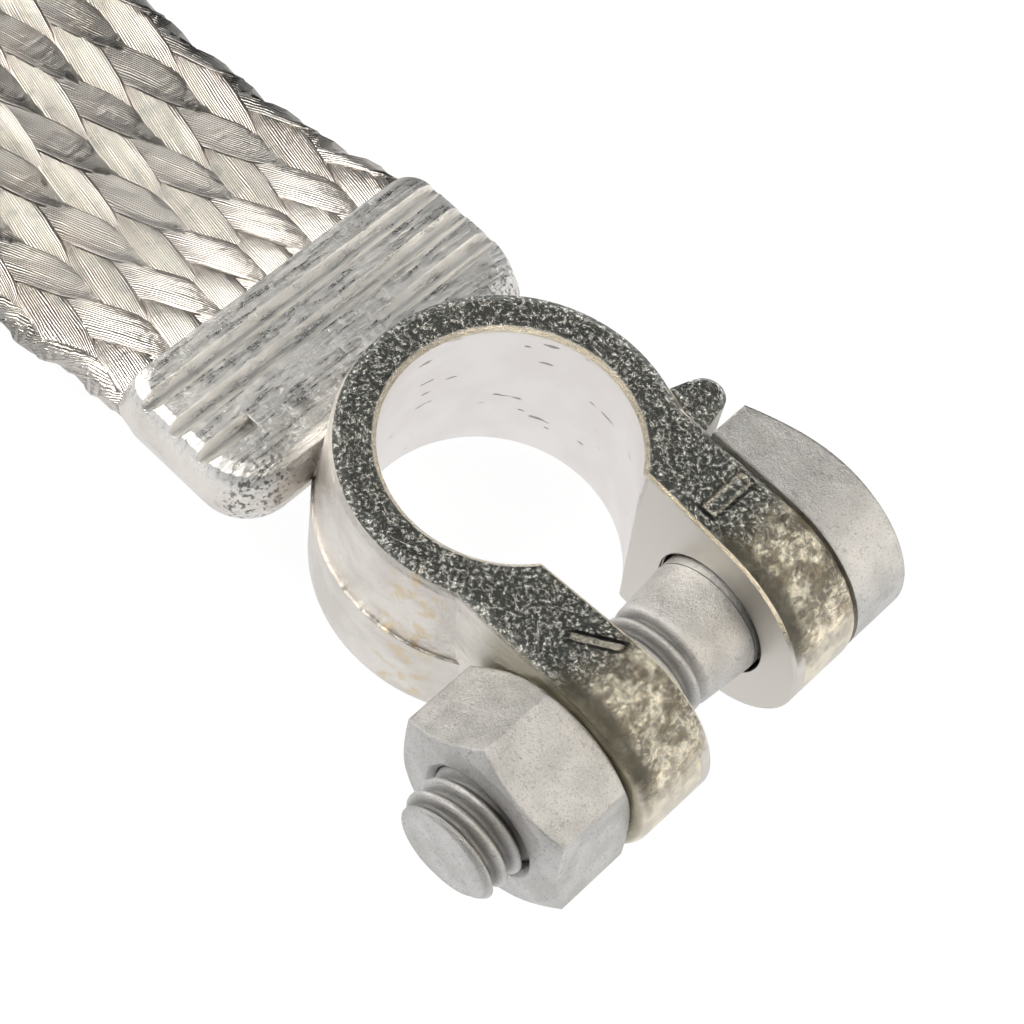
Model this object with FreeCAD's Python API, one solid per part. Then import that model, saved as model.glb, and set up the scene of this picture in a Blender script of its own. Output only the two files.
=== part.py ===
import FreeCAD, Part

import math
import os

from FreeCAD import Vector

# Battery ground strap: a cast clamp for a battery post, its M8 clamp bolt and
# nut, a flat braid of tinned copper wire, and a crimped lug on the far end.
# Millimetres. The origin is the centre of the post bore at the casting's
# underside, +Z up the bore, +X towards the jaws, +Y towards the bolt head.

# ring round the battery post
post_r_bottom = 9.35
post_r_top = 8.5
ring_wall = 3.0
ring_height = 15.2
ring_draft = 0.45
ring_draft_low = 0.2
parting_step = 0.2
bore_chamfer = 0.35
cast_round = 0.8

# jaws
bolt_x = 14.85
jaw_half_width = 10.2
jaw_gap_root = 9.35
jaw_gap_tip = 7.85
jaw_bevel = 0.2
bolt_hole_r = 4.6

# stop that keeps the bolt head from turning, on a foot that widens to the wall
stop_r = 1.4
stop_x = 5.75
stop_y = 12.0
stop_foot_near = 3.9
stop_foot_far = 7.6
stop_foot_low = 0.2

# block that grips the braid
block_near_x = -9.3
block_length = 13.0
block_half_width = 13.8
block_height = 5.8
block_draft = 0.5
block_round = 0.9
block_corner_ring = 3.6
block_corner_strap = 1.8
pocket_depth = 8.5
pocket_out = 0.3
groove_width = 1.3
groove_floor = 0.35
groove_depth = 0.8
groove_pitch = 2.6
groove_first = 2.5
groove_gap_low = -8.9
groove_gap_high = 2.5

# M8 x 30 clamp bolt
thread_d = 7.9
shank_d = 8.6
neck_length = 4.3
bolt_length = 30.3
bolt_end_chamfer = 0.45
head_r = 7.5
head_height = 5.3
head_face_r = 6.5
head_chamfer_deg = 31.0
head_key_gap = 0.85

# M8 nut
nut_across_flats = 13.0
nut_height = 6.75
nut_face_r = 6.3
nut_chamfer_deg = 30.0
nut_turn_deg = -20.6
nut_bore_gap = 0.06
nut_countersink = 0.4

# flat braid, and its free length from the block to the lug
free_length = 180.7
braid_width = 26.8
braid_thickness = 2.6

# crimped lug
sheet = 1.4
crimp_length = 16.0
crimp_round = 1.2
seam_width = 0.8
braid_tail = 1.2
lug_hole_r = 5.25
lug_eye_r = 11.5
lug_reach = 11.0
lug_lead = 7.0

# how the free braid lies: share of its length from the block, and the gap
# beneath it
lie = [
    (0.045, 2.7),
    (0.12, 0.7),
    (0.242, 0.2),
    (0.43, 0.45),
    (0.64, 0.15),
    (0.823, 0.25),
]

# route of the braid's middle, seen from the side: x and height, from the
# inner end of the pocket to the trimmed end in the lug
mid_z = ring_height / 2
lug_z = sheet + braid_thickness / 2
strap_x = block_near_x - block_length
lug_mouth_x = strap_x - free_length
lug_end_x = lug_mouth_x - crimp_length
route = [(strap_x + pocket_depth, mid_z), (strap_x + pocket_out, mid_z)]
route += [(strap_x - share * free_length, braid_thickness / 2 + gap) for share, gap in lie]
route += [(lug_mouth_x + lug_lead, lug_z), (lug_end_x - braid_tail, lug_z)]

# what follows from the sizes above
bolt_z = ring_height / 2
ring_r_top = post_r_top + ring_wall
ring_r_part = ring_r_top + ring_draft
ring_r_part_low = ring_r_part + parting_step
ring_r_bottom = ring_r_part_low - ring_draft_low
jaw_tip_x = bolt_x + ring_height / 2
block_top = mid_z + block_height / 2
hole_x = lug_end_x - lug_reach


def wire_of(points):
    """Closed wire through corner points."""
    return Part.makePolygon(points + [points[0]])


def solid_along(wire, direction):
    return Part.Face(wire).extrude(direction)


def turned(profile, axis_point, axis):
    """Solid turned from corner points that lie in one plane with the axis."""
    face = Part.Face(wire_of(profile))
    return face.revolve(axis_point, axis, 360)


def box_between(low, high):
    size = high - low
    return Part.makeBox(size.x, size.y, size.z, low)


def softened(reach):
    """A cast rim in two flats: how far in from the side, how far from the end."""
    near = reach * (1 - math.sqrt(0.5))
    return [(0, reach), (near, near), (reach, 0)]


def ring_blank():
    """Ring before boring: drafted both ways from a stepped parting line."""
    half = ring_height / 2
    rim = softened(cast_round)
    points = [Vector(0, 0, 0)]
    points += [Vector(ring_r_bottom - inset, 0, drop) for inset, drop in reversed(rim)]
    points += [Vector(ring_r_part_low, 0, half), Vector(ring_r_part, 0, half)]
    points += [Vector(ring_r_top - inset, 0, ring_height - drop) for inset, drop in rim]
    points += [Vector(0, 0, ring_height)]
    return turned(points, Vector(0, 0, 0), Vector(0, 0, 1))


def jaw_blank(side):
    """One jaw: a plate whose end is round about the bolt, with a soft rim."""
    half = ring_height / 2
    y = side * jaw_half_width
    low = Part.makeLine(Vector(0, y, 0), Vector(bolt_x, y, 0))
    tip = Part.Arc(Vector(bolt_x, y, 0), Vector(jaw_tip_x, y, half),
                   Vector(bolt_x, y, ring_height)).toShape()
    high = Part.makeLine(Vector(bolt_x, y, ring_height), Vector(0, y, ring_height))
    back = Part.makeLine(Vector(0, y, ring_height), Vector(0, y, 0))
    plate = solid_along(Part.Wire([low, tip, high, back]), Vector(0, -y, 0))
    rim = [e for e in plate.Edges if on_outer_rim(e, y)]
    return plate.makeFillet(cast_round, rim)


def on_outer_rim(edge, y):
    box = edge.BoundBox
    in_face = abs(box.YMin - y) < 1e-6 and abs(box.YMax - y) < 1e-6
    return in_face and box.XMax > 1


def head_stop():
    """Upright stop on the ring's wall beside the bolt head, with its foot."""
    post = Part.makeCylinder(stop_r, ring_height, Vector(stop_x, stop_y, 0))
    rims = [e for e in post.Edges if e.BoundBox.ZLength < 1e-6]
    z = stop_foot_low
    inside = jaw_half_width - stop_foot_low
    near_y = math.sqrt(ring_r_top ** 2 - stop_foot_near ** 2) - stop_foot_low
    foot = solid_along(wire_of([
        Vector(stop_x - stop_r, stop_y, z),
        Vector(stop_foot_near, near_y, z),
        Vector(stop_x, inside, z),
        Vector(stop_foot_far, inside, z),
        Vector(stop_x + stop_r, stop_y, z),
    ]), Vector(0, 0, ring_height - 2 * z))
    return post.makeChamfer(cast_round / 2, rims).fuse(foot)


def block_outline(z, inset):
    """Plan of the block at one height, set in from its parting line."""
    x_near = block_near_x - inset
    x_far = strap_x + inset
    y = block_half_width - inset
    near = block_corner_ring
    far = block_corner_strap
    corners = [
        (x_near, y, near, 0),
        (x_far, y, far, 90),
        (x_far, -y, far, 180),
        (x_near, -y, near, 270),
    ]
    edges = []
    last = None
    first = None
    for x, cy, r, start in corners:
        sx = 1 if x == x_near else -1
        sy = 1 if cy > 0 else -1
        centre = Vector(x - sx * r, cy - sy * r, z)
        a, m, b = (arc_point(centre, r, start + t) for t in (0, 45, 90))
        if last is not None:
            edges.append(Part.makeLine(last, a))
        edges.append(Part.Arc(a, m, b).toShape())
        first = first or a
        last = b
    edges.append(Part.makeLine(last, first))
    return Part.Wire(edges)


def arc_point(centre, radius, degrees):
    angle = math.radians(degrees)
    return centre + Vector(radius * math.cos(angle), radius * math.sin(angle), 0)


def grip_block():
    """Block cast round the braid: drafted ends, softened rims, cross grooves."""
    half = block_height / 2
    parts = []
    for up in (1, -1):
        levels = [(0, half)]
        levels += [(block_draft + inset, drop) for inset, drop in softened(block_round)]
        plans = [block_outline(mid_z + up * (half - drop), inset) for inset, drop in levels]
        parts += [Part.makeLoft([a, b], True, True) for a, b in zip(plans, plans[1:])]
    block = parts[0].fuse(parts[1:]).removeSplitter()
    return block.cut(grooves())


def grooves():
    """Three cross grooves in the top; the third stops at the ring's foot."""
    cuts = []
    reach = block_half_width + 1
    for i in range(3):
        x = strap_x + groove_first + i * groove_pitch
        spans = [(-reach, reach)]
        if i == 2:
            spans = [(-reach, groove_gap_low), (groove_gap_high, reach)]
        cuts += [groove(x, y0, y1) for y0, y1 in spans]
    return Part.Compound(cuts)


def groove(x, y0, y1):
    """One groove: a steep wall on the strap's side, a gentle one by the ring."""
    slant = groove_width - groove_floor
    floor_z = block_top - groove_depth
    steep = x + slant / 3
    profile = [
        Vector(x, y0, block_top),
        Vector(steep, y0, floor_z),
        Vector(steep + groove_floor, y0, floor_z),
        Vector(x + groove_width, y0, block_top),
        Vector(x + groove_width, y0, block_top + 1),
        Vector(x, y0, block_top + 1),
    ]
    return solid_along(wire_of(profile), Vector(0, y1 - y0, 0))


def post_bore():
    """Tapered hole for the battery post, with a light chamfer at each end."""
    c = bore_chamfer
    points = [
        Vector(0, 0, -1),
        Vector(post_r_bottom + c, 0, -1),
        Vector(post_r_bottom + c, 0, 0),
        Vector(post_r_bottom, 0, c),
        Vector(post_r_top, 0, ring_height - c),
        Vector(post_r_top + c, 0, ring_height),
        Vector(post_r_top + c, 0, ring_height + 1),
        Vector(0, 0, ring_height + 1),
    ]
    return turned(points, Vector(0, 0, 0), Vector(0, 0, 1))


def jaw_slot():
    """Gap between the jaws: its walls close slightly towards the tips."""
    root_x = post_r_top
    slope = (jaw_gap_root - jaw_gap_tip) / 2 / (jaw_tip_x - root_x)
    end_x = jaw_tip_x + 1
    at_end = jaw_gap_tip / 2 - slope
    at_axis = jaw_gap_root / 2 + slope * root_x
    plan = [
        Vector(0, -at_axis, -1),
        Vector(end_x, -at_end, -1),
        Vector(end_x, at_end, -1),
        Vector(0, at_axis, -1),
    ]
    return solid_along(wire_of(plan), Vector(0, 0, ring_height + 2))


def along_bolt(radius, y0, y1):
    """Cylinder on the bolt's axis."""
    return Part.makeCylinder(radius, y1 - y0, Vector(bolt_x, y0, bolt_z), Vector(0, 1, 0))


def on_slot_rim(edge):
    """True for the long rims of the gap's walls."""
    box = edge.BoundBox
    y = max(abs(box.YMin), abs(box.YMax))
    return y < jaw_gap_root / 2 + 1 and box.XMax > bolt_x - 0.01 and box.XLength > 1


def terminal_clamp(braid_solid):
    """The casting: ring, jaws, head stop and grip block in one piece."""
    pieces = [jaw_blank(1), jaw_blank(-1), head_stop(), grip_block()]
    body = ring_blank().fuse(pieces).removeSplitter()
    body = body.cut(jaw_slot())
    body = body.makeChamfer(jaw_bevel, [e for e in body.Edges if on_slot_rim(e)])
    reach = jaw_half_width + 1
    body = body.cut(post_bore()).cut(along_bolt(bolt_hole_r, -reach, reach))
    return body.cut(braid_solid)


def head_profile():
    """Bolt head seen along the bolt: a half round with a flat side at the stop."""
    key_x = stop_x + stop_r + head_key_gap
    y = jaw_half_width
    key_low = Vector(key_x, y, bolt_z - head_r)
    key_top = Vector(key_x, y, bolt_z + head_r)
    low = Vector(bolt_x, y, bolt_z - head_r)
    tip = Vector(bolt_x + head_r, y, bolt_z)
    top = Vector(bolt_x, y, bolt_z + head_r)
    return Part.Wire([
        Part.makeLine(key_top, top),
        Part.Arc(top, tip, low).toShape(),
        Part.makeLine(low, key_low),
        Part.makeLine(key_low, key_top),
    ])


def spun_about_bolt(profile):
    """Solid turned about the bolt's axis from (radius, y) corners."""
    points = [Vector(bolt_x + r, y, bolt_z) for r, y in profile]
    return turned(points, Vector(bolt_x, 0, bolt_z), Vector(0, 1, 0))


def clamp_bolt():
    """M8 bolt: keyed round head, slightly thicker neck, plain thread."""
    seat = jaw_half_width
    face = seat + head_height
    wide = head_r * 2
    drop = (wide - head_face_r) * math.tan(math.radians(head_chamfer_deg))
    head = solid_along(head_profile(), Vector(0, head_height, 0))
    cone = spun_about_bolt([(0, seat), (wide, seat), (wide, face - drop),
                            (head_face_r, face), (0, face)])
    inner = jaw_gap_tip / 2
    end = seat - bolt_length
    c = bolt_end_chamfer
    shank = spun_about_bolt([
        (0, end),
        (thread_d / 2 - c, end),
        (thread_d / 2, end + c),
        (thread_d / 2, inner - neck_length),
        (shank_d / 2, inner),
        (shank_d / 2, seat),
        (0, seat),
    ])
    return head.common(cone).fuse(shank).removeSplitter()


def clamp_nut():
    """Hexagon nut with both rims chamfered, seated on the jaw's outer face."""
    seat = -jaw_half_width
    face = seat - nut_height
    corner = nut_across_flats / 2 / math.cos(math.radians(30))
    points = []
    for i in range(6):
        angle = math.radians(nut_turn_deg + 60 * i)
        points.append(Vector(bolt_x + corner * math.cos(angle), face,
                             bolt_z + corner * math.sin(angle)))
    hexagon = solid_along(wire_of(points), Vector(0, nut_height, 0))
    drop = (corner + 1 - nut_face_r) * math.tan(math.radians(nut_chamfer_deg))
    lens = spun_about_bolt([(0, face), (nut_face_r, face), (corner + 1, face + drop),
                            (corner + 1, seat - drop), (nut_face_r, seat), (0, seat)])
    r = thread_d / 2 + nut_bore_gap
    c = nut_countersink
    bore = spun_about_bolt([(0, face - 1), (r + c, face - 1), (r + c, face), (r, face + c),
                            (r, seat - c), (r + c, seat), (r + c, seat + 1), (0, seat + 1)])
    return hexagon.common(lens).cut(bore)


def route_wire():
    """Straight runs of the braid's route joined by arcs as large as they allow."""
    points = [Vector(x, 0, z) for x, z in route]
    edges = []
    start = points[0]
    for before, at, after in zip(points, points[1:], points[2:]):
        into = (at - before).normalize()
        out = (after - at).normalize()
        half_turn = into.getAngle(out) / 2
        cut = 0.45 * min((at - before).Length, (after - at).Length)
        radius = cut / math.tan(half_turn)
        print("braid bend radius %.1f mm" % radius)
        a = at - into * cut
        b = at + out * cut
        inward = (out - into).normalize()
        middle = at + inward * (radius / math.cos(half_turn) - radius)
        edges += [Part.makeLine(start, a), Part.Arc(a, middle, b).toShape()]
        start = b
    edges.append(Part.makeLine(start, points[-1]))
    return Part.Wire(edges)


def braid_section():
    """Flattened tube: straight top and bottom, each side rounded off in four flats."""
    x, z = route[0]
    r = braid_thickness / 2
    y = braid_width / 2 - r
    corners = []
    for side in (1, -1):
        for i in range(5):
            angle = math.pi / 2 - i * math.pi / 4
            out = Vector(0, r * math.cos(angle), r * math.sin(angle))
            corners.append(Vector(x, 0, z) + (Vector(0, y, 0) + out) * side)
    return wire_of(corners)


def braid():
    """Flat braid along its route, from inside the block to the lug."""
    path = route_wire()
    section = braid_section()
    solid = path.makePipeShell([section], True, False)
    expected = Part.Face(section).Area * path.Length
    print("braid length %.1f mm, volume %.0f of %.0f mm3" % (path.Length, solid.Volume, expected))
    return solid


def crimp_barrel():
    """Sheet folded round the braid, its two edges meeting at a seam on top."""
    height = braid_thickness + 2 * sheet
    y = braid_width / 2 + sheet
    barrel = box_between(Vector(lug_end_x, -y, 0), Vector(lug_mouth_x, y, height))
    long_edges = [e for e in barrel.Edges if e.BoundBox.XLength > crimp_length / 2]
    barrel = barrel.makeFillet(crimp_round, long_edges)
    low = Vector(lug_end_x - 1, -seam_width / 2, height - sheet * 1.5)
    high = Vector(lug_mouth_x + 1, seam_width / 2, height + 1)
    return barrel.cut(box_between(low, high))


def lug_eye():
    """Flat tongue that narrows to a round eye for the body bolt."""
    y = braid_width / 2
    dx = lug_reach
    reach = math.hypot(dx, y)
    at = math.atan2(y, dx) + math.acos(lug_eye_r / reach)
    centre = Vector(hole_x, 0, 0)
    touch_x = lug_eye_r * math.cos(at)
    touch_y = lug_eye_r * math.sin(at)
    root_high = Vector(lug_end_x, y, 0)
    root_low = Vector(lug_end_x, -y, 0)
    high = centre + Vector(touch_x, touch_y, 0)
    low = centre + Vector(touch_x, -touch_y, 0)
    end = centre + Vector(-lug_eye_r, 0, 0)
    outline = Part.Wire([
        Part.makeLine(root_high, high),
        Part.Arc(high, end, low).toShape(),
        Part.makeLine(low, root_low),
        Part.makeLine(root_low, root_high),
    ])
    plate = solid_along(outline, Vector(0, 0, sheet))
    hole = Part.makeCylinder(lug_hole_r, sheet + 2, Vector(hole_x, 0, -1))
    return plate.cut(hole)


def end_lug(braid_solid):
    """Pressed lug: crimp barrel and eye folded from one sheet."""
    return crimp_barrel().fuse(lug_eye()).removeSplitter().cut(braid_solid)


def save(name, shape):
    solids = shape.Solids
    print("%s: %d solid(s), %.0f mm3, valid %s" % (name, len(solids), shape.Volume, shape.isValid()))
    solids[0].exportStep("parts/%s.step" % name)


def main():
    os.makedirs("parts", exist_ok=True)
    strap = braid()
    save("terminal_clamp", terminal_clamp(strap))
    save("clamp_bolt", clamp_bolt())
    save("clamp_nut", clamp_nut())
    save("braid_strap", strap)
    save("end_lug", end_lug(strap))


main()
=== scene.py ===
import math

import bmesh
import bpy
from mathutils import Matrix, Vector


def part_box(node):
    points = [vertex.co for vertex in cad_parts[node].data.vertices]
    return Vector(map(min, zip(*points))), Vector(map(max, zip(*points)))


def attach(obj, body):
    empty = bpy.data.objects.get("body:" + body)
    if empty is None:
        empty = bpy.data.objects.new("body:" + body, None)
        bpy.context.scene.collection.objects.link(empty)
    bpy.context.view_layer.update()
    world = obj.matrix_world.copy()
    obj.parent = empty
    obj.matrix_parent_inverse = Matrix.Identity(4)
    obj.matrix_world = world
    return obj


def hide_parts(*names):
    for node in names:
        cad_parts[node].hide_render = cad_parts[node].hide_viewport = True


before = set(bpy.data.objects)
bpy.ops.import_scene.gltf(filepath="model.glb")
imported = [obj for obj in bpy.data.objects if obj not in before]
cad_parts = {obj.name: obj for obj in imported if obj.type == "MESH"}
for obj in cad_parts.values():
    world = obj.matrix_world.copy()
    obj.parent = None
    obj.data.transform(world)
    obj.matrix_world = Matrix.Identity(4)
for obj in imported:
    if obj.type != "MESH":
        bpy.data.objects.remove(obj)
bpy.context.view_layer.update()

MM = 0.001


def in_mm(metres):
    """A length of the frame in mm, to the thousandth that the solids are drawn to."""
    return round(metres / MM, 3)


nut_low, nut_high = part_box("clamp_nut")
braid_low, braid_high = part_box("braid_strap")
bolt_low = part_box("clamp_bolt")[0]
lug_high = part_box("end_lug")[1]

# bolt, in mm
BOLT_X = in_mm((nut_low.x + nut_high.x) / 2)
BOLT_Z = in_mm((nut_low.z + nut_high.z) / 2)
THREAD_END = in_mm(bolt_low.y)
NECK_START = -0.4
NECK_END = 3.9
SHANK_R = 4.3

# M8 thread, in mm; flats and flanks are shares of the half pitch
PITCH = 1.25
CREST_R = 3.93
ROOT_R = 3.28
ROOT_FLAT = 0.15
FLANK = 0.7
RUN_OUT = 0.5
PAST_NECK_START = 0.2
END_R = 3.42
END_SLOPE = 0.9

# braid and its route, in mm, from where it leaves the casting to the lug
BRAID_WIDTH = in_mm(braid_high.y - braid_low.y)
BRAID_THICK = 2.6
STRAP_X = -22.3
FREE_LENGTH = in_mm(STRAP_X * MM - lug_high.x)
LUG_Z = 2.7

# how the free braid lies, as in the solid: share of its length, gap beneath
LIE = [(0.045, 2.7), (0.12, 0.7), (0.242, 0.2), (0.43, 0.45), (0.64, 0.15), (0.823, 0.25)]
ROUTE = [(-13.8, 7.6), (-22.0, 7.6)]
ROUTE += [(STRAP_X - share * FREE_LENGTH, BRAID_THICK / 2 + gap) for share, gap in LIE]
ROUTE += [(-196.0, LUG_Z), (-220.2, LUG_Z)]

# weave: bands each way round the flattened tube, and one band's form, in mm
CARRIERS = 24
FLOAT_REPEAT = 8.2
ROW_SPACING = 2.18
ROW_START = 0.677
ROW_CROWDING = 0.075
TUBE_R = 0.62
EDGE_ROOM = 0.4
ALONG_STEP = 0.95
WEAVE_START = -20.6
CROSSING = 0.34
ARCH = 0.25
SWAY = 0.07
SWAY_PER_BAND = 2.4
SWAY_PER_MM = 0.21
BAND_HALF = {1: 1.5, -1: 1.65}
HALF_SHARE = 0.85
HALF_CHANGE = 0.15
BAND_THICK = 0.3
BAND_TILT = 0.07
DEEPER = 0.03
BAND_PROFILE = [(-1.0, 0.3), (-0.86, 0.78), (-0.4, 1.0), (0.4, 1.0), (0.86, 0.78), (1.0, 0.3), (0.0, -0.3)]
SECOND_FAMILY = 40
WIRES_PER_HALF = 9.0
WIRE_DEPTH = 0.045

# cast marks on the jaws, in mm: a framed plate, and a rib on a slanted line
PLATE_LOW = (11.1, 5.5)
PLATE_HIGH = (12.4, 9.5)
PLATE_EDGE = (0.35, 0.4)
RIB_ALONG = (11.7, 14.7)
RIB_HALF = 0.42
RIB_SLOPE = 0.634
RIB_SHIFT = 14.607

# relief of the casting, in mm; a pair is for its walls and its tops
MARK_DEPTH = 0.6
LUMP_DEPTH = 0.5
GRAIN_DEPTHS = (0.08, 0.4)
FINE_DEPTHS = (0.04, 0.17)
STREAK_DEPTH = 0.14
SCRATCH_DEPTH = 0.08
WRINKLE_DEPTH = 0.25
CASTING_EDGE_R = 0.15
ZINC_EDGE_R = 0.35

# colours of the casting
WALL_GREY = (0.76, 0.72, 0.67)
WALL_PALE = (0.88, 0.84, 0.79)
# painted dark reflection and painted glints of the tops
FACET_DARK_REFLECTION = (0.14, 0.15, 0.14)
FACET_GLINT = (0.95, 0.95, 0.92)
# painted warm reflection of the ear tips: shaded tops, lit walls and highlights
GOLD_TOP_SHADE = (0.36, 0.31, 0.22)
GOLD_WALL_LIT = (0.76, 0.7, 0.59)
GOLD_HIGHLIGHT = (0.97, 0.89, 0.71)
# streaked tone of the block top, its white streaks a painted sheen
STREAK_GREY = (0.66, 0.66, 0.65)
STREAK_SHEEN = (0.99, 0.98, 0.96)
BORE_GREY = (0.93, 0.89, 0.87)
BORE_PINK = (0.97, 0.94, 0.92)
WRINKLE_BROWN = (0.2, 0.17, 0.12)
# painted dark reflection along the ear rims
RIM_DARK_REFLECTION = (0.12, 0.11, 0.08)
# painted shade on the ears' outer faces
FACE_SHADE_OLIVE = (0.36, 0.34, 0.25)
TARNISH = (0.1, 0.1, 0.09)
SLOT_GREY = (0.74, 0.71, 0.66)
# painted highlight on the slot's chamfers
SLOT_EDGE_HIGHLIGHT = (0.93, 0.84, 0.66)
SCRATCH_GREY = (0.42, 0.4, 0.39)
# painted highlight on the bore's top chamfer
BORE_EDGE_HIGHLIGHT = (0.9, 0.84, 0.7)
STAIN_YELLOW = (0.76, 0.6, 0.34)
# painted highlight on the plate's frame and the rib
MARK_HIGHLIGHT = (0.88, 0.84, 0.74)

# colours of the zinc, the first two at its level of brightness
ZINC_LEVEL = 0.74
ZINC_DARK = [ZINC_LEVEL * part for part in (0.84, 0.83, 0.81)]
ZINC_PALE = [ZINC_LEVEL * part for part in (1.0, 0.985, 0.97)]
ZINC_SPOT = (0.28, 0.28, 0.28)
ZINC_GLINT = (0.98, 0.97, 0.95)
ZINC_GRAIN = (0.3, 0.3, 0.29)
# painted shade in the thread roots
THREAD_ROOT_SHADE = (0.16, 0.16, 0.16)

# colours of the wire and of the lug's sheet
WIRE_DARK = (0.64, 0.585, 0.545)
WIRE_PALE = (0.88, 0.81, 0.765)
# painted shade on the first family of bands
WIRE_FAMILY_SHADE = (0.36, 0.36, 0.345)
# painted shade in the valleys between wires
WIRE_VALLEY_SHADE = (0.3, 0.28, 0.26)
WIRE_WARM = (0.82, 0.74, 0.64)
WIRE_PATCH = (0.4, 0.4, 0.39)
WIRE_BY_CLAMP = (0.84, 0.81, 0.77)
SHEET_DARK = (0.78, 0.77, 0.74)
SHEET_PALE = (0.88, 0.87, 0.85)

# camera at the photograph's place: degrees, mm, and metres for the distance
CAMERA_TURN = 32.202
CAMERA_TILT = 59.597
CAMERA_ROLL = 13.865
CAMERA_TARGET = (3.528, -3.451, 15.2)
CAMERA_DISTANCE = 0.17388
CAMERA_LENS = 98.93
CAMERA_SENSOR = 36
CAMERA_SHIFT = (-0.00173, -0.00089)
CAMERA_NEAREST = 0.01

# floor, in metres, and the strength that the camera and a metal see in it
FLOOR_HALF = 3.0
FLOOR_Z = -0.0001
FLOOR_GREY = (0.88, 0.88, 0.88, 1)
FLOOR_FOR_CAMERA = 1.09
FLOOR_FOR_METAL = 0.9
FLOOR_SHADOWLESS = 0.88

# lamps: name, direction, size in metres, power and colour
LAMP_DISTANCE = 0.6
LAMPS = [
    ("left", (-0.7, -0.25, 0.66), (0.3, 0.42), 3.2, (1.0, 0.97, 0.92)),
    ("right", (0.85, 0.2, 0.5), (0.3, 0.3), 2.0, (1.0, 0.93, 0.82)),
    ("back", (0.3, 0.75, 0.6), (0.12, 0.3), 0.7, (1.0, 1.0, 1.0)),
]

# direction that the world grows darker in, seen from above
DARK_SIDE = (0.5, 0.86, 0.0)


# camera

def make_camera():
    """Camera at the photograph's place."""
    turn, tilt, roll = (math.radians(a) for a in (CAMERA_TURN, CAMERA_TILT, CAMERA_ROLL))
    target = Vector(CAMERA_TARGET) * MM
    back = Vector((math.sin(turn) * math.cos(tilt), -math.cos(turn) * math.cos(tilt), math.sin(tilt)))
    side = Vector((math.cos(turn), math.sin(turn), 0))
    top = back.cross(side)
    right = math.cos(roll) * side + math.sin(roll) * top
    up = math.cos(roll) * top - math.sin(roll) * side
    data = bpy.data.cameras.new("camera")
    data.sensor_width = CAMERA_SENSOR
    data.lens = CAMERA_LENS
    data.shift_x, data.shift_y = CAMERA_SHIFT
    data.clip_start = CAMERA_NEAREST
    camera = bpy.data.objects.new("camera", data)
    bpy.context.collection.objects.link(camera)
    camera.matrix_world = Matrix((
        (right.x, up.x, back.x, 0),
        (right.y, up.y, back.y, 0),
        (right.z, up.z, back.z, 0),
        (0, 0, 0, 1),
    ))
    camera.location = target + back * CAMERA_DISTANCE
    bpy.context.scene.camera = camera


# node trees

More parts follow.
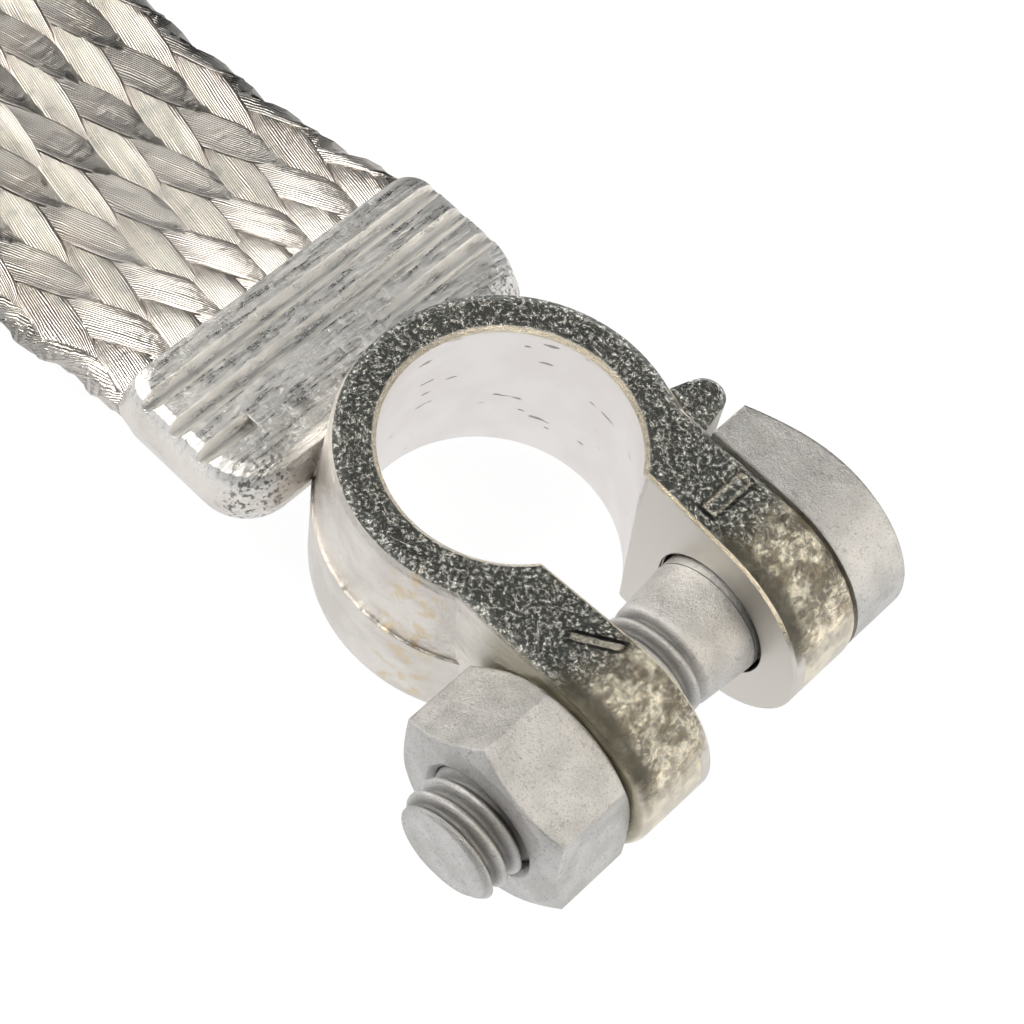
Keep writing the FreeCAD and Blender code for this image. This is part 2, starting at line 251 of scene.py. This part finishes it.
class Nodes:
    """Short calls that build the node tree of a material or of the world."""

    def __init__(self, owner):
        owner.use_nodes = True
        self.owner = owner
        self.tree = owner.node_tree

    def add(self, kind, **settings):
        """New node of a kind, with its settings."""
        node = self.tree.nodes.new(kind)
        for key, value in settings.items():
            setattr(node, key, value)
        return node

    def put(self, value, socket):
        """Links an output, or writes a constant, into an input socket."""
        if isinstance(value, bpy.types.NodeSocket):
            self.tree.links.new(value, socket)
        else:
            socket.default_value = value

    def put_colour(self, value, socket):
        """As put, for an output or a colour of three numbers."""
        self.put(value if isinstance(value, bpy.types.NodeSocket) else (*value, 1), socket)

    def math(self, operation, first, second=0.0):
        """One operation on one value or two."""
        node = self.add("ShaderNodeMath", operation=operation)
        for value, socket in zip((first, second), node.inputs):
            self.put(value, socket)
        return node.outputs[0]

    def times(self, product, *others):
        """Product of all values."""
        for value in others:
            product = self.math("MULTIPLY", product, value)
        return product

    def plus(self, total, *others):
        """Sum of all values."""
        for value in others:
            total = self.math("ADD", total, value)
        return total

    def less(self, mask, share=1.0):
        """1 minus a share of a mask."""
        return self.math("SUBTRACT", 1.0, mask if share == 1.0 else self.times(mask, share))

    def step(self, value, low, high):
        """0 below low, 1 above high, smooth between; the other way round if high is less."""
        node = self.add("ShaderNodeMapRange", interpolation_type="SMOOTHSTEP")
        self.put(value, node.inputs["Value"])
        self.put(low, node.inputs["From Min"])
        self.put(high, node.inputs["From Max"])
        return node.outputs["Result"]

    def within(self, *ranges):
        """Product of the steps of several (value, low, high)."""
        return self.times(*(self.step(*each) for each in ranges))

    def span(self, value, low, high, to_low, to_high):
        """Straight ramp from one range to another, held at its ends."""
        node = self.add("ShaderNodeMapRange")
        names = ("Value", "From Min", "From Max", "To Min", "To Max")
        for name, number in zip(names, (value, low, high, to_low, to_high)):
            self.put(number, node.inputs[name])
        return node.outputs["Result"]

    def mix(self, factor, first, second):
        """Colour between two colours."""
        node = self.add("ShaderNodeMix", data_type="RGBA")
        self.put(factor, node.inputs[0])
        self.put_colour(first, node.inputs[6])
        self.put_colour(second, node.inputs[7])
        return node.outputs[2]

    def place(self, scale=(1, 1, 1)):
        """Position in mm, stretched."""
        node = self.add("ShaderNodeVectorMath", operation="MULTIPLY")
        self.put(self.add("ShaderNodeTexCoord").outputs["Object"], node.inputs[0])
        node.inputs[1].default_value = [part / MM for part in scale]
        return node.outputs[0]

    def split(self, vector):
        """The three parts of a vector."""
        node = self.add("ShaderNodeSeparateXYZ")
        self.put(vector, node.inputs[0])
        return node.outputs[0], node.outputs[1], node.outputs[2]

    def join(self, *parts):
        """Vector of three parts."""
        node = self.add("ShaderNodeCombineXYZ")
        for part, socket in zip(parts, node.inputs):
            self.put(part, socket)
        return node.outputs[0]

    def noise(self, vector, scale, detail, rough):
        """Soft noise, about 0.5 in the middle."""
        node = self.add("ShaderNodeTexNoise")
        self.put(vector, node.inputs["Vector"])
        node.inputs["Scale"].default_value = scale
        node.inputs["Detail"].default_value = detail
        node.inputs["Roughness"].default_value = rough
        return node.outputs["Fac"]

    def soft_edges(self, radius):
        """Normal that rounds sharp edges over, by a radius in mm."""
        node = self.add("ShaderNodeBevel", samples=6)
        node.inputs["Radius"].default_value = radius * MM
        return node.outputs["Normal"]

    def bump(self, height, depth=1.0, strength=1.0, under=None):
        """Normal from a height, whose 1 stands for a depth in mm."""
        node = self.add("ShaderNodeBump")
        node.inputs["Strength"].default_value = strength
        node.inputs["Distance"].default_value = depth * MM
        self.put(height, node.inputs["Height"])
        if under is not None:
            self.put(under, node.inputs["Normal"])
        return node.outputs["Normal"]

    def metal(self, colour, roughness, normal):
        """Ends the tree as bare metal and returns the material."""
        inputs = self.tree.nodes["Principled BSDF"].inputs
        self.put_colour(colour, inputs["Base Color"])
        self.put(roughness, inputs["Roughness"])
        self.put(normal, inputs["Normal"])
        inputs["Metallic"].default_value = 1.0
        return self.owner


# casting

class Casting:
    """Bright rough casting: tops with painted glints on painted dark reflection, ear tips with painted warm
    reflection, smooth bore, streaked grip block with painted sheen.

    Each place is a mask, 0 outside and 1 inside. Its ranges are in mm along
    the part, and in the share of a surface's normal that points up or aside.
    """

    def __init__(self):
        self.graph = Nodes(bpy.data.materials.new("casting"))
        self.x, self.y, self.z = self.graph.split(self.graph.place())
        self.side = self.graph.math("ABSOLUTE", self.y)
        normal = self.graph.add("ShaderNodeNewGeometry").outputs["Normal"]
        self.facing = self.graph.split(normal)
        self.make_patterns()
        self.find_places()
        self.find_wear_and_light()
        self.find_marks()

    def make_patterns(self):
        """Noises that the colour and the relief share."""
        graph = self.graph
        here = graph.place()
        self.lumps = graph.noise(here, 0.7, 3, 0.5)
        self.grain = graph.noise(here, 2.6, 4, 0.6)
        self.fine = graph.noise(here, 7.0, 5, 0.7)
        self.facets = graph.noise(here, 3.4, 4, 0.7)
        self.cloud = graph.noise(here, 0.3, 2, 0.5)
        self.spots = graph.noise(here, 0.9, 3, 0.6)
        self.streak = graph.noise(graph.place((3.2, 0.35, 1.0)), 0.9, 5, 0.6)
        self.lines = graph.noise(graph.place((0.55, 0.55, 2.4)), 0.8, 2, 0.4)
        self.wrinkle = graph.noise(graph.place((1.3, 0.7, 1.0)), 1.7, 4, 0.65)

    def find_places(self):
        """Where each kind of surface lies."""
        graph = self.graph
        x, y, z, side = self.x, self.y, self.z, self.side
        up = self.facing[2]
        self.radius = graph.math("SQRT", graph.plus(graph.times(x, x), graph.times(y, y)))
        self.top = graph.within((up, 0.3, 0.8), (z, 11.2, 12.6))
        self.tip = graph.within((x, 12.5, 17.0), (side, 3.8, 4.8))
        self.tip_top = graph.times(self.tip, graph.step(up, 0.2, 0.6))
        self.block = graph.within((x, -8.8, -9.8), (z, 12.2, 11.6))
        self.block_top = graph.times(self.block, graph.within((z, 8.2, 9.4), (up, 0.1, 0.5)))
        self.bore = graph.within((self.radius, 9.75, 9.55), (up, 0.4, 0.2), (x, 7.6, 7.2))
        self.slot = graph.within((side, 5.0, 4.85), (x, 7.2, 7.6), (up, 0.5, 0.2))
        self.smooth = graph.math("MAXIMUM", self.bore, self.slot)
        self.rough = graph.less(self.smooth)
        self.wall = graph.times(graph.less(self.top), graph.less(self.block))
        # the ears' outer faces, which get painted shade
        self.shaded_outer_face = graph.within((side, 9.9, 10.15), (x, 6.5, 9.5))

    def find_wear_and_light(self):
        """Where the painted rim reflection and chamfer highlights, scratches, tarnish and stains lie."""
        graph = self.graph
        x, y, z, side = self.x, self.y, self.z, self.side
        aside, up = graph.math("ABSOLUTE", self.facing[1]), self.facing[2]
        # painted dark reflection along the ear rims, by the slot and by the nut
        by_slot = graph.within((y, 3.9, 4.2), (y, 6.2, 5.0))
        by_nut = graph.step(y, -8.3, -9.4)
        rims = graph.math("MAXIMUM", by_slot, by_nut)
        self.rim_dark_reflection = graph.times(rims, graph.within((x, 11.5, 14.5), (up, 0.2, 0.6)))
        # painted highlight on the chamfers beside the slot, picked by their facing
        self.slot_rim_highlight = graph.within((aside, 0.45, 0.6), (up, 0.45, 0.6), (x, 7.0, 7.6), (side, 5.6, 5.3))
        # painted highlight on the bore's top chamfer
        self.bore_rim_highlight = graph.within((z, 14.75, 14.85), (self.radius, 9.0, 8.9), (z, 15.19, 15.1))
        self.scratch = graph.times(graph.step(self.lines, 0.7, 0.74), self.bore)
        block_corner = graph.within((x, -12.5, -11.0), (side, 8.0, 10.5), (self.grain, 0.5, 0.6))
        self.tarnish = graph.times(self.block, block_corner)
        from_stain = graph.math("ABSOLUTE", graph.math("SUBTRACT", x, 3.0))
        self.stain = graph.within((y, -10.3, -10.8), (from_stain, 2.6, 1.2), (self.spots, 0.48, 0.62))

    def in_box(self, across, low, high, soft):
        """1 inside a rectangle of x and of a measure across it."""
        ranges = []
        for value, first, last in ((self.x, low[0], high[0]), (across, low[1], high[1])):
            ranges.append((value, first - soft, first + soft))
            ranges.append((value, last + soft, last - soft))
        return self.graph.times(self.graph.within(*ranges), self.graph.step(self.z, 12.0, 13.0))

    def find_marks(self):
        """The sunk plate with its raised frame, and the slanted rib."""
        graph = self.graph
        inner_low = [place + edge for place, edge in zip(PLATE_LOW, PLATE_EDGE)]
        inner_high = [place - edge for place, edge in zip(PLATE_HIGH, PLATE_EDGE)]
        self.plate = self.in_box(self.y, PLATE_LOW, PLATE_HIGH, 0.2)
        inner = self.in_box(self.y, inner_low, inner_high, 0.15)
        off_rib = graph.plus(graph.times(self.x, -RIB_SLOPE), self.y, RIB_SHIFT)
        self.rib = self.in_box(off_rib, (RIB_ALONG[0], -RIB_HALF), (RIB_ALONG[1], RIB_HALF), 0.2)
        # painted highlight on the plate's frame and the rib
        self.mark_highlight = graph.math("MAXIMUM", graph.math("SUBTRACT", self.plate, inner), self.rib)

    def colour(self):
        """Walls and tops, and over them each tint at its place, in turn."""
        graph = self.graph
        wall = graph.mix(graph.step(self.cloud, 0.35, 0.65), WALL_GREY, WALL_PALE)
        speck = graph.plus(graph.times(self.fine, 0.4), graph.times(self.facets, 0.6))
        # painted glints on painted dark reflection, over the tops
        painted_sparkle = graph.mix(graph.step(speck, 0.47, 0.6), FACET_DARK_REFLECTION, FACET_GLINT)
        # painted warm reflection on the tips: tops darker than walls by their facing, highlights on the
        # lumps
        gold_reflection = graph.mix(graph.step(self.facing[2], 0.6, 0.1), GOLD_TOP_SHADE, GOLD_WALL_LIT)
        gold_reflection = graph.mix(graph.step(self.lumps, 0.4, 0.6), gold_reflection, GOLD_HIGHLIGHT)
        # streaks of the block top, the white ones a painted sheen
        streak_sheen = graph.mix(graph.step(self.streak, 0.32, 0.54), STREAK_GREY, STREAK_SHEEN)
        pink = graph.mix(graph.step(self.cloud, 0.3, 0.7), BORE_GREY, BORE_PINK)
        patchy = graph.span(graph.step(self.grain, 0.45, 0.65), 0, 1, 0.92, 0.5)
        wrinkled = graph.times(graph.step(self.wrinkle, 0.5, 0.58), self.tip_top)
        # each tint in turn; the rim reflection, the face shade and the chamfer and mark highlights are
        # painted light and shade
        tints = (
            (graph.times(self.tip, patchy), gold_reflection),
            (graph.times(wrinkled, 0.6), WRINKLE_BROWN),
            (graph.times(self.rim_dark_reflection, 0.85), RIM_DARK_REFLECTION),
            (self.block_top, streak_sheen),
            (graph.times(self.shaded_outer_face, 0.75), FACE_SHADE_OLIVE),
            (graph.times(self.tarnish, 0.8), TARNISH),
            (self.smooth, pink),
            (self.slot, SLOT_GREY),
            (self.slot_rim_highlight, SLOT_EDGE_HIGHLIGHT),
            (self.scratch, SCRATCH_GREY),
            (self.bore_rim_highlight, BORE_EDGE_HIGHLIGHT),
            (graph.times(self.stain, 0.55), STAIN_YELLOW),
            (graph.times(self.mark_highlight, 0.7), MARK_HIGHLIGHT),
        )
        colour = graph.mix(self.top, wall, painted_sparkle)
        for share, tint in tints:
            colour = graph.mix(share, colour, tint)
        return colour

    def height(self):
        """Relief in mm: marks, lumps, grain, streaks, scratches and wrinkles."""
        graph = self.graph
        lumpy = graph.times(
            self.rough, graph.less(self.block, 0.75), graph.less(self.tip, 0.35), graph.less(self.wall, 0.4)
        )
        grainy = graph.times(
            graph.span(self.top, 0, 1, *GRAIN_DEPTHS),
            self.rough,
            graph.less(self.block, 0.6),
            graph.less(self.tip, 0.82),
        )
        fine = graph.times(graph.span(self.top, 0, 1, *FINE_DEPTHS), graph.less(self.smooth, 0.8))
        return graph.plus(
            graph.times(graph.math("SUBTRACT", self.rib, self.plate), MARK_DEPTH),
            graph.times(self.lumps, lumpy, LUMP_DEPTH),
            graph.times(self.grain, grainy),
            graph.times(self.streak, self.block_top, STREAK_DEPTH),
            graph.times(self.scratch, -SCRATCH_DEPTH),
            graph.times(self.wrinkle, self.tip_top, -WRINKLE_DEPTH),
            graph.times(self.fine, fine),
        )

    def roughness(self):
        """Polished tips, duller walls and streaks, and an even bore and slot."""
        graph = self.graph
        rough = graph.plus(
            graph.span(self.grain, 0.3, 0.7, 0.14, 0.26),
            graph.times(self.tip_top, -0.04),
            graph.times(self.block_top, graph.span(self.streak, 0.35, 0.6, 0.05, 0.24)),
            graph.times(self.wall, 0.13),
        )
        return graph.plus(graph.times(rough, self.rough), graph.times(self.smooth, 0.38))

    def material(self):
        """The material, with its relief and softened edges as a normal."""
        graph = self.graph
        normal = graph.bump(self.height(), under=graph.soft_edges(CASTING_EDGE_R))
        return graph.metal(self.colour(), self.roughness(), normal)


# zinc, wire and sheet

def zinc_material(name, speckle, threaded=False):
    """Matte zinc plating with fine dark speckle and painted glints; painted shade darkens the thread roots.
    """
    graph = Nodes(bpy.data.materials.new(name))
    here = graph.place()
    grain = graph.noise(here, 7.0, 6, 0.75)
    cloud = graph.noise(here, 0.5, 3, 0.5)
    spots = graph.noise(here, 2.0, 5, 0.75)
    colour = graph.mix(graph.step(cloud, 0.35, 0.65), ZINC_DARK, ZINC_PALE)
    colour = graph.mix(graph.times(graph.step(spots, 0.54, 0.66), speckle), colour, ZINC_SPOT)
    colour = graph.mix(graph.times(graph.step(grain, 0.55, 0.68), 0.5), colour, ZINC_GLINT)
    colour = graph.mix(graph.times(graph.step(grain, 0.46, 0.36), 0.62), colour, ZINC_GRAIN)
    if threaded:
        x, y, z = graph.split(here)
        off_x = graph.math("SUBTRACT", x, BOLT_X)
        off_z = graph.math("SUBTRACT", z, BOLT_Z)
        radius = graph.math("SQRT", graph.plus(graph.times(off_x, off_x), graph.times(off_z, off_z)))
        # painted shade in the thread's roots
        root_shade = graph.within((radius, 3.85, 3.35), (y, -0.2, -0.5), (y, THREAD_END, THREAD_END + 0.3))
        colour = graph.mix(graph.times(root_shade, 0.75), colour, THREAD_ROOT_SHADE)
    rough = graph.span(grain, 0.3, 0.7, 0.32, 0.48)
    height = graph.plus(graph.times(grain, 0.07), graph.times(cloud, 0.12))
    return graph.metal(colour, rough, graph.bump(height, under=graph.soft_edges(ZINC_EDGE_R)))


def wire_material():
    """Bands of fine tinned wire; the attribute holds length, width and strand."""
    graph = Nodes(bpy.data.materials.new("tinned_wire"))
    strand = graph.add("ShaderNodeAttribute", attribute_name="strand").outputs["Vector"]
    along, across, number = graph.split(strand)
    here = graph.place()

    # wires side by side in the band, that wander a little along it
    drift = graph.join(graph.times(along, 0.16), graph.times(across, 1.3), graph.times(number, 3.7))
    wander = graph.times(graph.math("SUBTRACT", graph.noise(drift, 1.0, 2, 0.5), 0.5), 2.4)
    wires = graph.plus(graph.times(across, WIRES_PER_HALF), wander)
    ridge = graph.math("ABSOLUTE", graph.math("SINE", graph.times(wires, math.pi)))
    wire = graph.join(graph.math("FLOOR", wires), graph.times(number, 7.3), graph.times(along, 0.1))
    tone = graph.noise(wire, 1.0, 2, 0.6)

    # the braid is brighter and softer beside the clamp
    by_clamp = graph.step(graph.split(here)[0], -32.0, -25.0)
    second = graph.step(number, SECOND_FAMILY - 10.0, SECOND_FAMILY - 5.0)
    # painted shade on the first family of bands, less beside the clamp
    shaded_family = graph.times(graph.less(second), graph.span(by_clamp, 0, 1, 0.84, 0.25))
    # painted shade in the valleys between wires
    valley_shade = graph.times(graph.step(ridge, 0.5, 0.0), graph.span(by_clamp, 0, 1, 0.34, 0.16))
    warm = graph.step(graph.noise(here, 0.14, 3, 0.6), 0.5, 0.7)
    patch = graph.step(graph.noise(here, 0.45, 4, 0.7), 0.5, 0.66)
    colour = graph.mix(graph.step(tone, 0.3, 0.7), WIRE_DARK, WIRE_PALE)
    for share, tint in (
        (shaded_family, WIRE_FAMILY_SHADE),
        (valley_shade, WIRE_VALLEY_SHADE),
        (graph.times(warm, 0.25), WIRE_WARM),
        (graph.times(patch, 0.5), WIRE_PATCH),
        (graph.times(by_clamp, 0.4), WIRE_BY_CLAMP),
    ):
        colour = graph.mix(share, colour, tint)
    rough = graph.span(tone, 0.3, 0.7, 0.28, 0.4)
    normal = graph.bump(graph.times(ridge, graph.span(by_clamp, 0, 1, 1.0, 0.6)), WIRE_DEPTH)
    normal = graph.bump(graph.noise(here, 1.6, 4, 0.6), 0.2, 0.5, normal)
    return graph.metal(colour, rough, normal)


def lug_material():
    """Smooth tinned sheet with faint cloudiness and press marks."""
    graph = Nodes(bpy.data.materials.new("tinned_sheet"))
    cloud = graph.noise(graph.place(), 0.35, 4, 0.6)
    fine = graph.noise(graph.place((0.4, 4.0, 4.0)), 1.5, 4, 0.6)
    colour = graph.mix(graph.step(cloud, 0.35, 0.65), SHEET_DARK, SHEET_PALE)
    normal = graph.bump(cloud, 0.2, 0.2, graph.bump(fine, 0.03, 0.5))
    return graph.metal(colour, graph.span(cloud, 0.3, 0.7, 0.38, 0.46), normal)


# bolt

def clipped(value):
    """A value held between 0 and 1."""
    return min(1.0, max(0.0, value))


def thread_radius(y, turn):
    """Thread's radius at a place on the bolt; the ridge climbs one pitch a turn."""
    phase = (y / PITCH - turn) % 1.0
    height = clipped((abs(phase - 0.5) * 2 - ROOT_FLAT) / FLANK)
    radius = ROOT_R + (CREST_R - ROOT_R) * height
    full = clipped((NECK_START + PAST_NECK_START - y) / RUN_OUT)
    radius = CREST_R + (radius - CREST_R) * full
    return min(radius, END_R + (y - THREAD_END) * END_SLOPE)


def neck_radius(y):
    """Neck's radius, which grows from the thread's to the shank's."""
    return CREST_R + (SHANK_R - CREST_R) * clipped((y - NECK_START) / (NECK_END - NECK_START))


def bolt_point(y, radius, turn):
    """Point round the bolt's axis; by the right-hand rule about +Y, +Z turns towards +X."""
    angle = 2 * math.pi * turn
    return Vector((BOLT_X + radius * math.sin(angle), y, BOLT_Z + radius * math.cos(angle))) * MM


def join_rings(bm, first, second):
    """Band of faces between two rings of as many points."""
    count = len(first)
    for i in range(count):
        j = (i + 1) % count
        bm.faces.new((first[i], second[i], second[j], first[j]))


def make_bolt():
    """Threaded end and neck made here, joined to the solid's shank and head."""
    around = 72
    thread_step = 0.104
    neck_step = 0.4
    end_face = 0.9
    margin = 0.05
    bm = bmesh.new()
    bm.from_mesh(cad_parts["clamp_bolt"].data)
    gone = [v for v in bm.verts if v.co.y < (NECK_END - margin) * MM]
    bmesh.ops.delete(bm, geom=gone, context="VERTS")
    rings = []
    y = THREAD_END
    while y < NECK_END + margin:
        threaded = y < NECK_START + PAST_NECK_START
        ring = []
        for i in range(around):
            turn = i / around
            radius = thread_radius(y, turn) if threaded else neck_radius(y)
            ring.append(bm.verts.new(bolt_point(y, radius, turn)))
        rings.append(ring)
        y += thread_step if threaded else neck_step
    for first, second in zip(rings, rings[1:]):
        join_rings(bm, first, second)
    middle = Vector((BOLT_X, THREAD_END, BOLT_Z)) * MM
    inner = [bm.verts.new(middle + (v.co - middle) * end_face) for v in rings[0]]
    join_rings(bm, inner, rings[0])
    bm.faces.new(inner)
    bmesh.ops.recalc_face_normals(bm, faces=bm.faces)
    mesh = bpy.data.meshes.new("threaded_bolt")
    bm.to_mesh(mesh)
    bm.free()
    bolt = bpy.data.objects.new("threaded_bolt", mesh)
    bpy.context.collection.objects.link(bolt)
    mesh.shade_smooth()
    mesh.set_sharp_from_angle(angle=math.radians(38))
    mesh.materials.append(zinc_material("zinc_bolt", 0.5, threaded=True))
    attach(bolt, "bolt")
    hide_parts("clamp_bolt")


# braid

def route_points():
    """Points along the smooth line through the route, in mm, from the spline."""
    curve = bpy.data.curves.new("route", "CURVE")
    curve.dimensions = "3D"
    curve.resolution_u = 40
    spline = curve.splines.new("NURBS")
    spline.points.add(len(ROUTE) - 1)
    for point, (x, z) in zip(spline.points, ROUTE):
        point.co = (x * MM, 0, z * MM, 1)
    spline.order_u = 3
    spline.use_endpoint_u = True
    holder = bpy.data.objects.new("route", curve)
    bpy.context.collection.objects.link(holder)
    mesh = bpy.data.meshes.new_from_object(holder)
    points = [v.co / MM for v in mesh.vertices]
    bpy.data.objects.remove(holder)
    bpy.data.meshes.remove(mesh)
    return [p for p in points if p.x < WEAVE_START]


class Line:
    """The route as points and each point's distance along it."""

    def __init__(self, points):
        self.points = points
        self.reached = [0.0]
        for a, b in zip(points, points[1:]):
            self.reached.append(self.reached[-1] + (b - a).length)
        self.length = self.reached[-1]

    def place(self, distance):
        """Point at a distance along the line, and the direction up from it."""
        i = 1
        while i < len(self.reached) - 1 and self.reached[i] < distance:
            i += 1
        a, b = self.points[i - 1], self.points[i]
        share = (distance - self.reached[i - 1]) / max(1e-9, self.reached[i] - self.reached[i - 1])
        tangent = (b - a).normalized()
        up = Vector((-tangent.z, 0, tangent.x))
        if up.z < 0:
            up.negate()
        return a + (b - a) * share, up


def tube_place(share):
    """Point and outward direction on the flattened tube; share runs once round."""
    share = share % 1.0
    top = share < 0.5
    across = share * 2 if top else share * 2 - 1
    across += ROW_CROWDING * math.sin(2 * math.pi * across) / (2 * math.pi)
    flat_half = BRAID_WIDTH / 2 - EDGE_ROOM - TUBE_R
    flat = 2 * flat_half
    arc = math.pi * TUBE_R
    run = across * (flat + arc) - arc / 2
    if run < 0:
        angle = run / TUBE_R
        middle = -flat_half
    elif run > flat:
        angle = (run - flat) / TUBE_R
        middle = flat_half
    else:
        angle = 0.0
        middle = -flat_half + run
    out_y, out_z = math.sin(angle), math.cos(angle)
    y, z = middle + TUBE_R * out_y, TUBE_R * out_z
    if not top:
        y, z, out_y, out_z = -y, -z, -out_y, -out_z
    return y, z, out_y, out_z


def on_top(own, other, sign):
    """1 where a band lies over the other family's, -1 under, smooth between."""
    near = math.floor(other + 0.5)
    part = other - near
    beside = near + (1 if part > 0 else -1)
    here = sign if (own + near) % 4 < 2 else -sign
    there = sign if (own + beside) % 4 < 2 else -sign
    if here == there:
        return here
    share = min(1.0, (0.5 - abs(part)) / CROSSING)
    return here * share * share * (3 - 2 * share)


def band_points(family, carrier, places):
    """Points of one band, and what its material reads at each of them."""
    points, strand = [], []
    number = carrier + (0 if family < 0 else SECOND_FAMILY)
    for distance, centre, up in places:
        travel = family * distance / FLOAT_REPEAT
        sway = SWAY * math.sin(carrier * SWAY_PER_BAND + family + distance * SWAY_PER_MM)
        level = on_top(carrier, carrier + 2 * travel, family)
        half = BAND_HALF[family] * (HALF_SHARE + HALF_CHANGE * level)
        for across, rise in BAND_PROFILE:
            off = half * across / ROW_SPACING
            lift = ARCH * on_top(carrier, carrier + off + 2 * travel, family)
            y, z, out_y, out_z = tube_place((carrier + ROW_START + sway + travel + off) / CARRIERS)
            out = lift + BAND_THICK * rise + (BAND_TILT * across - DEEPER) * family
            points.append((centre + Vector((0, y + out_y * out, 0)) + up * (z + out_z * out)) * MM)
            strand.append((distance, across, number))
    return points, strand


def band_faces(start, count):
    """Faces of one band, with an end face at each end."""
    width = len(BAND_PROFILE)
    last = start + (count - 1) * width
    faces = []
    for ring in range(start, last, width):
        for i in range(width):
            j = (i + 1) % width
            faces.append((ring + i, ring + j, ring + width + j, ring + width + i))
    faces.append(tuple(start + i for i in range(width)))
    faces.append(tuple(last + i for i in reversed(range(width))))
    return faces


def make_braid():
    """Flat woven strap: bands of wire that each pass over two and under two."""
    line = Line(route_points())
    steps = int(line.length / ALONG_STEP)
    distances = [line.length * k / steps for k in range(steps + 1)]
    places = [(distance, *line.place(distance)) for distance in distances]
    verts, faces, strands = [], [], []
    for family in (-1, 1):
        for carrier in range(CARRIERS):
            faces += band_faces(len(verts), len(places))
            points, strand = band_points(family, carrier, places)
            verts += points
            strands += strand
    mesh = bpy.data.meshes.new("woven_braid")
    mesh.from_pydata(verts, [], faces)
    attribute = mesh.attributes.new("strand", "FLOAT_VECTOR", "POINT")
    attribute.data.foreach_set("vector", [part for strand in strands for part in strand])
    bm = bmesh.new()
    bm.from_mesh(mesh)
    bmesh.ops.recalc_face_normals(bm, faces=bm.faces)
    bm.to_mesh(mesh)
    bm.free()
    mesh.shade_smooth()
    mesh.materials.append(wire_material())
    braid = bpy.data.objects.new("woven_braid", mesh)
    bpy.context.collection.objects.link(braid)
    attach(braid, "strap")
    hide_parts("braid_strap")


# floor, lamps and world

def make_floor():
    """White floor that keeps a faint shadow; greyer in what it gives to metal."""
    mesh = bpy.data.meshes.new("floor")
    corners = [(x * FLOOR_HALF, y * FLOOR_HALF, FLOOR_Z) for x, y in ((-1, -1), (1, -1), (1, 1), (-1, 1))]
    mesh.from_pydata(corners, [], [(0, 1, 2, 3)])
    floor = bpy.data.objects.new("floor", mesh)
    bpy.context.collection.objects.link(floor)
    graph = Nodes(bpy.data.materials.new("floor"))
    graph.tree.nodes.remove(graph.tree.nodes["Principled BSDF"])
    rays = graph.add("ShaderNodeLightPath").outputs
    white = graph.add("ShaderNodeEmission")
    lit = graph.add("ShaderNodeBsdfDiffuse")
    lit.inputs["Color"].default_value = FLOOR_GREY
    for_camera = graph.times(rays["Is Camera Ray"], FLOOR_FOR_CAMERA)
    for_metal = graph.times(rays["Is Glossy Ray"], FLOOR_FOR_METAL)
    graph.put(graph.math("MAXIMUM", for_camera, for_metal), white.inputs["Strength"])
    seen = graph.math("MAXIMUM", rays["Is Camera Ray"], rays["Is Glossy Ray"])
    mix = graph.add("ShaderNodeMixShader")
    graph.put(graph.times(seen, FLOOR_SHADOWLESS), mix.inputs[0])
    graph.put(lit.outputs[0], mix.inputs[1])
    graph.put(white.outputs[0], mix.inputs[2])
    graph.put(mix.outputs[0], graph.tree.nodes["Material Output"].inputs["Surface"])
    mesh.materials.append(graph.owner)


def make_lamp(name, towards, size, power, colour):
    """Square soft box that looks at the clamp."""
    data = bpy.data.lights.new(name, "AREA")
    data.shape = "RECTANGLE"
    data.size, data.size_y = size
    data.energy = power
    data.color = colour
    lamp = bpy.data.objects.new(name, data)
    bpy.context.collection.objects.link(lamp)
    direction = Vector(towards).normalized()
    lamp.location = direction * LAMP_DISTANCE
    lamp.rotation_euler = direction.to_track_quat("Z", "Y").to_euler()


def make_world():
    """Pale low down, brightest to the left, and dark overhead and behind."""
    world = bpy.data.worlds.new("studio")
    bpy.context.scene.world = world
    graph = Nodes(world)
    direction = graph.add("ShaderNodeTexCoord").outputs["Generated"]
    towards_dark = graph.add("ShaderNodeVectorMath", operation="DOT_PRODUCT")
    graph.put(direction, towards_dark.inputs[0])
    towards_dark.inputs[1].default_value = DARK_SIDE
    by_height = graph.span(graph.split(direction)[2], 0.22, 0.62, 0.8, 0.05)
    by_side = graph.span(towards_dark.outputs["Value"], -0.3, 0.7, 1.0, 0.3)
    graph.put(graph.times(by_height, by_side), graph.tree.nodes["Background"].inputs["Strength"])


make_camera()
make_world()
make_floor()
for lamp in LAMPS:
    make_lamp(*lamp)

finishes = {
    "terminal_clamp": Casting().material(),
    "clamp_nut": zinc_material("zinc_nut", 0.45),
    "end_lug": lug_material(),
}
for name, material in finishes.items():
    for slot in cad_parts[name].material_slots:
        slot.material = material

make_bolt()
make_braid()

bpy.context.scene.view_settings.view_transform = "Standard"
